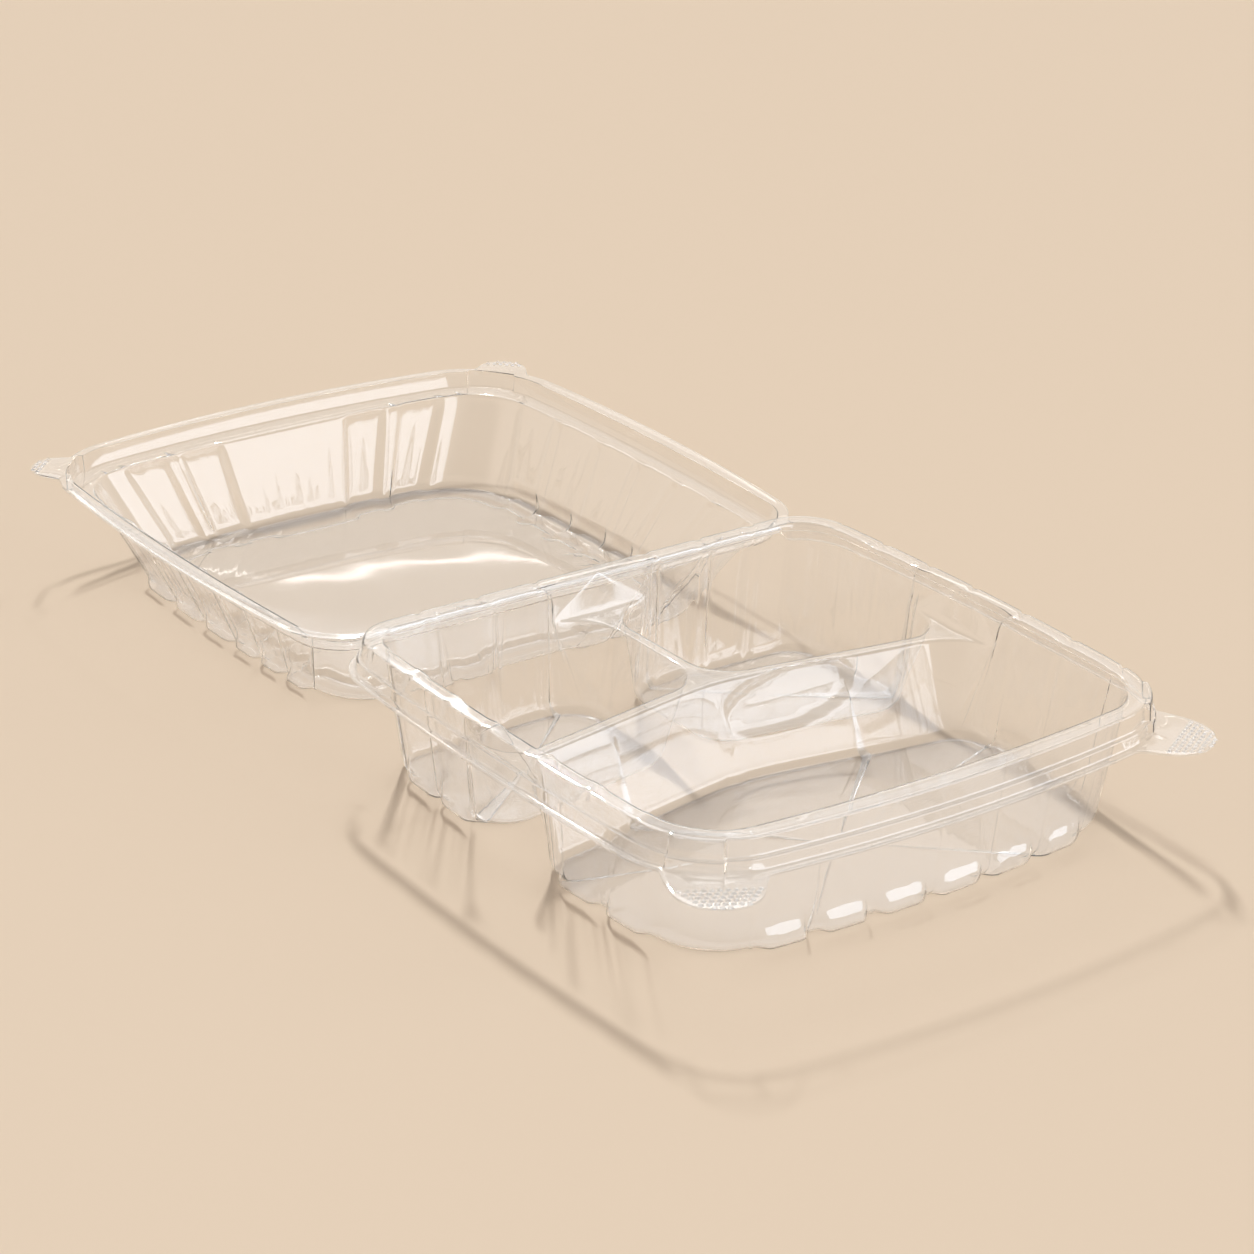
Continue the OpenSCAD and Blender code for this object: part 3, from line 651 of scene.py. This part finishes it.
def build_base(material):
    sheet = Sheet()
    ring = None
    for r in BASE_RIM:
        ids = sheet.put(settled(r))
        if ring is not None:
            sheet.bridge(ring, ids)
        ring = ids
    ids = {k: sheet.put(settled(v)) for k, v in LINES.items()}
    bend = sheet.put(settled(BEND_TOP))

    def wall(cell, i, side):
        i = i % RING_N
        foot, plain = wall_feet(i, side)
        saddle = wall_saddle(i, side)
        rear = (i < SIDE_I) | (i >= RING_N - SIDE_I)
        flute = BASE_WAVES[i] * plain[:, None]
        cell.add(ring[i], LAND[i], foot, WALL_HALF, flute, np.where(rear, 0.0, 1.0), OUT[i],
                 saddle=saddle)

    def divider(cell, name, dists, feet, back, side, kind=0):
        order = np.arange(len(dists))[::-1 if back else 1]
        if name == "short":
            length, run, start, away, along = SHORT_L, END_RUN, SHORT_END, DOWN, [side, 0]
        else:
            sign = -1 if name == "left" else 1
            length, run, start, away = LONG_L, SIDE_RUN, long_end(sign), -to_wall(sign)
            along = UP if side else DOWN
        edge, share = saddle_on_divider(start, away, along, dists, LINES[name][:, 2], run)
        half = flares(dists, length, BEND_FLARE if side else 0)
        cell.add(ids[name][order], LINES[name][order], feet[order], half[order], kind=kind,
                 saddle=(edge[order], share[order]))

    def turn(cell, foot, spread):
        cell.add(bend, BEND_TOP, foot, DIVIDER_HALF + spread)

    left, right, front = Cell(), Cell(), Cell()
    wall(left, np.arange(0, LEFT_I + 1), -1)
    divider(left, "left", LONG_D, rear_feet(-1), False, -1)
    turn(left, corner_foot(BEND, to_wall(-1), UP, REAR_DIV_RUN, REAR_DIV_RUN, FLOOR_R, 0),
         BEND_FLARE)
    divider(left, "short", SHORT_D, short_feet(-1), True, -1)
    wall(right, np.arange(RIGHT_I, RING_N + 1), 1)
    divider(right, "short", SHORT_D, short_feet(1), False, 1)
    turn(right, corner_foot(BEND, to_wall(1), UP, REAR_DIV_RUN, REAR_DIV_RUN, FLOOR_R, 0),
         BEND_FLARE)
    divider(right, "right", LONG_D, rear_feet(1), True, 1)
    wall(front, np.arange(LEFT_I, RIGHT_I + 1), 0)
    divider(front, "right", LONG_D, front_feet(1), False, 0, kind=1)
    turn(front, np.array([[0, APEX_Y - FRONT_DIV_RUN]]), 0)
    divider(front, "left", LONG_D, front_feet(-1), True, 0)
    for cell in (left, right, front):
        edge, rings = cell_rings(cell, BASE_FLUTE, BASE_SPOON, BASE_FOOT_LOBE)
        flat = rings[-1][:, :2]
        box = np.array([flat.min(axis=0), flat.max(axis=0)])
        inner, centre = floor_rings(rings[-1], FLOOR_SHARES, FLOOR_CROWN, box)
        for r in rings + inner:
            here = sheet.put(settled(r))
            sheet.bridge(edge, here)
            edge = here
        sheet.close(edge, settled(centre)[0])
    return sheet.build("base_shell", material, "base")


def build_lid(material):
    sheet = Sheet()
    outer, inner = lid_rim()
    ring = None
    for r in outer + [bowed(x) for x in inner]:
        ids = sheet.put(r)
        if ring is not None:
            sheet.bridge(ring, ids)
        ring = ids
    cell = Cell()
    i = np.arange(RING_N)
    far = (i >= FAR_I) & (i < FAR_I + K * FRONT_N)
    rear = (i < SIDE_I) | (i >= RING_N - SIDE_I)
    cell.add(ring, inner[-1], LID_FOOT, WALL_HALF, LID_WAVES, np.where(far | rear, 0.0, 1.0), OUT)
    edge, rings = cell_rings(cell, LID_FLUTE, 0, LID_FOOT_LOBE)
    last = rings[-1]
    centre = last.mean(axis=0)
    inward = unit((centre - last) * [1, 1, 0])
    for share, rise in PANEL_STEP:
        rings.append(last + inward * PANEL_INSET * share + [0, 0, PANEL_RISE * rise])
    panel = rings[-1]
    box = np.array([panel[:, :2].min(axis=0), panel[:, :2].max(axis=0)])
    inner, middle = floor_rings(panel, PANEL_SHARES, LID_CROWN, box)
    for r in rings + inner:
        here = sheet.put(bowed(r))
        sheet.bridge(edge, here)
        edge = here
    sheet.close(edge, bowed(middle)[0])
    return sheet.build("lid_shell", material, "lid", mirror=True)


def knurls(name, body, material, tab, r, root, z, line_a, line_b, mirror=False):
    """Rows of small six-sided bumps on both tabs, beyond a line from line_a to line_b."""
    points, faces = [], []
    pitch, bump_r, tip_r, bump_h, sunk = 2.7, 1.15, 0.4, 0.55, 0.2
    shares = np.linspace(0, 1, 13)
    along = unit(np.array(line_b, float) - line_a)
    across = np.array([along[1], -along[0]])
    for side in (-1, 1):
        centres = mix(tab, root, shares[:, None])
        radii = mix(r, r * TAB_SPREAD, shares) - bump_r - 0.5
        for i in range(-20, 24):
            for j in range(0, 16):
                spot = (np.array(line_a) + along * pitch * (i + 0.5 * (j % 2))
                        + across * (pitch * 0.866 * j + bump_r))
                if (np.linalg.norm(spot - centres, axis=1) - radii).min() > 0:
                    continue
                k = len(points)
                for q in range(6):
                    a = math.pi * q / 3
                    points.append([side * (spot[0] + bump_r * math.cos(a)),
                                   spot[1] + bump_r * math.sin(a), z - sunk])
                for q in range(6):
                    a = math.pi * q / 3
                    points.append([side * (spot[0] + tip_r * math.cos(a)),
                                   spot[1] + tip_r * math.sin(a), z + bump_h])
                quads = [[k + q, k + (q + 1) % 6, k + 6 + (q + 1) % 6, k + 6 + q]
                         for q in range(6)]
                quads += [[k + 6 + q for q in range(6)], [k + q for q in reversed(range(6))]]
                flip = (side < 0) != mirror
                faces += [f[::-1] if flip else f for f in quads]
    points = np.array(points)
    if mirror:
        points = points * [1, -1, 1]
    return add_mesh(name, row(points), faces, material, body, sharp=20)


def build_hinge(material):
    """The thin web that joins the halves: a strip with a shallow crease in its middle."""
    n = 80
    xs = np.linspace(-HINGE_HALF, HINGE_HALF, n)
    profile = [(-2.2, AXIS_H + 0.02), (-1.2, AXIS_H + 0.1), (-0.5, AXIS_H + 0.28), (0, AXIS_H),
               (0.5, AXIS_H + 0.1), (1.2, AXIS_H - 0.3), (2.4, LID_FLANGE_Z + 0.05)]
    loop = profile + [(y, z - 0.32) for y, z in reversed(profile)]
    points = np.array([[x, y, z] for x in xs for y, z in loop])
    m = len(loop)
    faces = []
    for i in range(n - 1):
        for j in range(m):
            k = (j + 1) % m
            faces.append([i * m + j, (i + 1) * m + j, (i + 1) * m + k, i * m + k])
    faces += [list(range(m)), [(n - 1) * m + j for j in reversed(range(m))]]
    obj = add_mesh("hinge_web", row(points), faces, material, sharp=35)
    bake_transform(obj)


def node(tree, kind, at=(0, 0), **values):
    """A new node. Each value is set on the node itself, or else on the input of that name."""
    n = tree.nodes.new(kind)
    n.location = at
    for key, value in values.items():
        if hasattr(n, key):
            setattr(n, key, value)
        else:
            n.inputs[key.replace("_", " ")].default_value = value
    return n


def clear_plastic(name, tint, rough, haze):
    """Thin clear plastic: a glossy coat on a sheet that hardly bends light. Shadow and diffuse
    rays pass straight through it, darkened by a painted shadow tint where they graze the sheet.
    """
    mat = bpy.data.materials.new(name)
    mat.use_nodes = True
    tree = mat.node_tree
    tree.nodes.clear()
    link = tree.links.new
    out = node(tree, "ShaderNodeOutputMaterial", (900, 0))
    body = node(tree, "ShaderNodeBsdfPrincipled", (300, 200))
    body.inputs["Base Color"].default_value = (*tint, 1)
    body.inputs["Transmission Weight"].default_value = 1 - haze
    body.inputs["IOR"].default_value = 1.12
    body.inputs["Coat Weight"].default_value = 1
    body.inputs["Coat IOR"].default_value = 1.6
    body.inputs["Coat Roughness"].default_value = 0.025
    coords = node(tree, "ShaderNodeTexCoord", (-900, 0))
    wear = node(tree, "ShaderNodeTexNoise", (-600, 100), Scale=60.0, Detail=4.0)
    to_rough = node(tree, "ShaderNodeMapRange", (-300, 100))
    to_rough.inputs["From Min"].default_value = 0.35
    to_rough.inputs["From Max"].default_value = 0.75
    to_rough.inputs["To Min"].default_value = rough
    to_rough.inputs["To Max"].default_value = rough + 0.035
    ripple = node(tree, "ShaderNodeTexNoise", (-600, -200), Scale=22.0, Detail=1.0)
    bump = node(tree, "ShaderNodeBump", (-200, -200), Strength=0.3, Distance=0.0003)
    link(coords.outputs["Object"], wear.inputs["Vector"])
    link(coords.outputs["Object"], ripple.inputs["Vector"])
    link(wear.outputs["Fac"], to_rough.inputs["Value"])
    link(to_rough.outputs["Result"], body.inputs["Roughness"])
    link(ripple.outputs["Fac"], bump.inputs["Height"])
    link(bump.outputs["Normal"], body.inputs["Normal"])
    link(bump.outputs["Normal"], body.inputs["Coat Normal"])
    # Painted shadow: for shadow and diffuse rays the sheet is transparent, and its colour darkens
    # from clear to the painted shadow tint towards grazing angles
    facing = node(tree, "ShaderNodeLayerWeight", (-300, -500), Blend=0.5)
    painted_shadow_ramp = node(tree, "ShaderNodeValToRGB", (0, -500))
    painted_shadow_ramp.color_ramp.elements[0].position = 0.5
    painted_shadow_ramp.color_ramp.elements[0].color = (1, 1, 1, 1)
    painted_shadow_ramp.color_ramp.elements[1].position = 0.9
    painted_shadow_ramp.color_ramp.elements[1].color = (*PAINTED_SHADOW_TINT, 1)
    painted_shadow_pass = node(tree, "ShaderNodeBsdfTransparent", (300, -400))
    path = node(tree, "ShaderNodeLightPath", (0, 500))
    either = node(tree, "ShaderNodeMath", (300, 500), operation="MAXIMUM")
    both = node(tree, "ShaderNodeMixShader", (650, 0))
    link(facing.outputs["Facing"], painted_shadow_ramp.inputs["Fac"])
    link(painted_shadow_ramp.outputs["Color"], painted_shadow_pass.inputs["Color"])
    link(path.outputs["Is Shadow Ray"], either.inputs[0])
    link(path.outputs["Is Diffuse Ray"], either.inputs[1])
    link(either.outputs[0], both.inputs[0])
    link(body.outputs[0], both.inputs[1])
    link(painted_shadow_pass.outputs[0], both.inputs[2])
    link(both.outputs[0], out.inputs["Surface"])
    return mat


def floor_material():
    mat = bpy.data.materials.new("floor_paper")
    mat.use_nodes = True
    tree = mat.node_tree
    body = tree.nodes["Principled BSDF"]
    body.inputs["Roughness"].default_value = 0.9
    body.inputs["Specular IOR Level"].default_value = 0.2
    body.inputs["Base Color"].default_value = (*FLOOR_COLOUR, 1)
    return mat


def build_stage():
    corners = np.array([[-1, -1, 0], [1, -1, 0], [1, 1, 0], [-1, 1, 0]]) * FLOOR_HALF
    add_mesh("floor", corners, [[0, 1, 2, 3]], floor_material())


def key_light():
    """Small bright lamp behind the object. Its light falls evenly on the whole floor."""
    key = bpy.data.lights.new("key", "POINT")
    key.energy = KEY_POWER
    key.shadow_soft_size = KEY_RADIUS
    key.use_nodes = True
    tree = key.node_tree
    coords = node(tree, "ShaderNodeTexCoord", (-900, 0))
    split = node(tree, "ShaderNodeSeparateXYZ", (-700, 0))
    down = node(tree, "ShaderNodeMath", (-500, 0), operation="ABSOLUTE")
    floored = node(tree, "ShaderNodeMath", (-300, 0), operation="MAXIMUM")
    floored.inputs[1].default_value = 0.25
    even = node(tree, "ShaderNodeMath", (-100, 0), operation="DIVIDE")
    falloff = node(tree, "ShaderNodeLightFalloff", (-300, 200), Strength=1.0)
    link = tree.links.new
    link(coords.outputs["Normal"], split.inputs[0])
    link(split.outputs["Z"], down.inputs[0])
    link(down.outputs[0], floored.inputs[0])
    link(falloff.outputs["Constant"], even.inputs[0])
    link(floored.outputs[0], even.inputs[1])
    link(even.outputs[0], tree.nodes["Emission"].inputs["Strength"])
    obj = bpy.data.objects.new("key", key)
    obj.location = KEY_PLACE
    bpy.context.scene.collection.objects.link(obj)


def soft_box(tree, ray, azimuth, elevation, half, soft, strength, colour):
    """A soft rectangle of light in the world, half its width and height given in tangents."""
    az, el = math.radians(azimuth), math.radians(elevation)
    centre = Vector((math.sin(az) * math.cos(el), math.cos(az) * math.cos(el), math.sin(el)))
    across = Vector((math.cos(az), -math.sin(az), 0))
    link = tree.links.new

    def dot(v):
        n = node(tree, "ShaderNodeVectorMath", operation="DOT_PRODUCT")
        link(ray, n.inputs[0])
        n.inputs[1].default_value = v
        return n.outputs["Value"]

    def math_node(operation, a, b=None):
        n = node(tree, "ShaderNodeMath", operation=operation)
        for socket, value in zip(n.inputs, (a, b)):
            if isinstance(value, float):
                socket.default_value = value
            elif value is not None:
                link(value, socket)
        return n.outputs[0]

    ahead = math_node("MAXIMUM", dot(centre), 0.01)
    shares = [math_node("GREATER_THAN", dot(centre), 0.05)]
    for axis, reach in zip((across, across.cross(centre)), half):
        off = math_node("ABSOLUTE", math_node("DIVIDE", dot(axis), ahead))
        edge = node(tree, "ShaderNodeMapRange", interpolation_type="SMOOTHSTEP")
        edge.inputs["From Min"].default_value = reach
        edge.inputs["From Max"].default_value = reach + soft
        edge.inputs["To Min"].default_value = 1
        edge.inputs["To Max"].default_value = 0
        link(off, edge.inputs["Value"])
        shares.append(edge.outputs["Result"])
    share = math_node("MULTIPLY", math_node("MULTIPLY", *shares[:2]), shares[2])
    glow = node(tree, "ShaderNodeBackground")
    glow.inputs["Color"].default_value = (*colour, 1)
    link(math_node("MULTIPLY", share, float(strength)), glow.inputs["Strength"])
    return glow.outputs[0]


def build_world():
    """Studio: a soft gradient, and soft boxes in front of and behind the object."""
    world = bpy.data.worlds.new("studio")
    bpy.context.scene.world = world
    world.use_nodes = True
    tree = world.node_tree
    ground = tree.nodes["Background"]
    coords = node(tree, "ShaderNodeTexCoord", (-900, 0))
    split = node(tree, "ShaderNodeSeparateXYZ", (-700, 0))
    ramp = node(tree, "ShaderNodeValToRGB", (-450, 0))
    ramp.color_ramp.elements[0].position = 0.48
    ramp.color_ramp.elements[0].color = (*SKY_LOW, 1)
    ramp.color_ramp.elements[1].position = 0.72
    ramp.color_ramp.elements[1].color = (*SKY_HIGH, 1)
    tree.links.new(coords.outputs["Generated"], split.inputs[0])
    tree.links.new(split.outputs["Z"], ramp.inputs["Fac"])
    tree.links.new(ramp.outputs["Color"], ground.inputs["Color"])
    backward = node(tree, "ShaderNodeMapRange", (-450, 300), interpolation_type="SMOOTHSTEP")
    backward.inputs["From Min"].default_value = -0.35
    backward.inputs["From Max"].default_value = 0.35
    backward.inputs["To Min"].default_value = SKY_FRONT
    backward.inputs["To Max"].default_value = SKY
    tree.links.new(split.outputs["Y"], backward.inputs["Value"])
    tree.links.new(backward.outputs["Result"], ground.inputs["Strength"])
    light = ground.outputs[0]
    for box in BOXES:
        add = node(tree, "ShaderNodeAddShader")
        tree.links.new(light, add.inputs[0])
        tree.links.new(soft_box(tree, coords.outputs["Generated"], *box), add.inputs[1])
        light = add.outputs[0]
    tree.links.new(light, tree.nodes["World Output"].inputs["Surface"])


def build_camera():
    """Camera fitted to the photograph: place, lens and roll."""
    yaw, pitch, roll = (math.radians(a) for a in (38.7054, 24.2564, 2.7977))
    ahead = Vector((math.sin(yaw) * math.cos(pitch), math.cos(yaw) * math.cos(pitch),
                    -math.sin(pitch)))
    side = Vector((math.cos(yaw), -math.sin(yaw), 0))
    up = side.cross(ahead)
    right = math.cos(roll) * side + math.sin(roll) * up
    above = -math.sin(roll) * side + math.cos(roll) * up
    data = bpy.data.cameras.new("camera")
    focal_px, photo_px, sensor = 3659.68, 1254, 36
    data.sensor_width = sensor
    data.lens = focal_px / photo_px * sensor
    data.clip_start, data.clip_end = 0.05, 50
    cam = bpy.data.objects.new("camera", data)
    bpy.context.scene.collection.objects.link(cam)
    place = Vector((-785.47, -1007.13, 602.2)) / 1000
    turn = Matrix((right, above, -ahead)).transposed().to_4x4()
    cam.matrix_world = Matrix.Translation(place) @ turn
    bpy.context.scene.camera = cam


build_camera()
base_plastic = clear_plastic("clear_plastic_base", SHEET_TINT, 0.012, 0.03)
lid_plastic = clear_plastic("clear_plastic_lid", SHEET_TINT, 0.012, 0.03)
knurl_plastic = clear_plastic("clear_plastic_knurl", KNURL_TINT, 0.05, 0.08)
web_plastic = clear_plastic("clear_plastic_web", KNURL_TINT, 0.05, 0.3)
base = build_base(base_plastic)
lid = build_lid(lid_plastic)
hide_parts("base")
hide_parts("lid")
knurls("base_tab_knurls", "base", knurl_plastic, TAB, TAB_R, TAB + [-TAB_R, 1.4 * TAB_R], 0,
       (93, -222.5), (125, -205.5))
knurls("lid_tab_knurls", "lid", knurl_plastic, LID_TAB, LID_TAB_R,
       LID_TAB + [-LID_TAB_R, LID_TAB_R], LID_FLANGE_Z, (99, -221), (121, -201), mirror=True)
build_hinge(web_plastic)
build_stage()
key_light()
build_world()

scene = bpy.context.scene
scene.view_settings.view_transform = "Standard"
scene.cycles.max_bounces = 32
scene.cycles.transmission_bounces = 32
scene.cycles.transparent_max_bounces = 48
